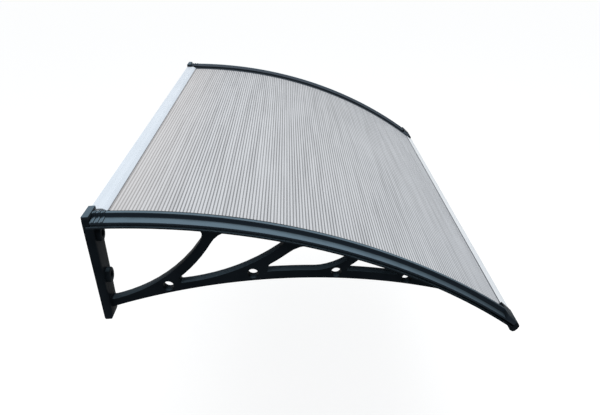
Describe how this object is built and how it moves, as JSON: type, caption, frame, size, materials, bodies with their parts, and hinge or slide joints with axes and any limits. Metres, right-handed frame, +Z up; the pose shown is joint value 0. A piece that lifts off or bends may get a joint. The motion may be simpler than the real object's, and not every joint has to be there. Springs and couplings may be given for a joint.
{
  "type": "door canopy",
  "caption": "Arched door canopy with a twin-wall plastic roof sheet on two moulded scroll brackets, held along the wall and the front edge by aluminium rails.",
  "frame": {"origin": "on the wall plane, midway between the brackets, level with the crest of the arms at the wall", "axes": "+X along the width to the right seen from in front, +Y into the wall, +Z up; the canopy stands out along -Y"},
  "size_m": [1.2, 0.8047, 0.3077],
  "materials": {
    "bracket_plastic": "satin black moulded plastic",
    "strip_plastic": "satin black moulded plastic with a bluish sheen",
    "sheet_polycarbonate": "clear hollow polycarbonate sheet with fine flutes",
    "rail_aluminium": "white to silver satin extrusion",
    "screw_steel": "zinc plated steel"
  },
  "bodies": {
    "root": {"left_bracket": "bracket_plastic", "left_cover_strip": "strip_plastic", "left_screw_1": "screw_steel", "left_screw_2": "screw_steel", "left_screw_3": "screw_steel", "left_screw_4": "screw_steel", "left_screw_5": "screw_steel", "right_bracket": "bracket_plastic", "right_cover_strip": "strip_plastic", "right_screw_1": "screw_steel", "right_screw_2": "screw_steel", "right_screw_3": "screw_steel", "right_screw_4": "screw_steel", "right_screw_5": "screw_steel", "roof_sheet": "sheet_polycarbonate", "rear_rail": "rail_aluminium", "front_rail": "rail_aluminium"}
  },
  "joints": []
}
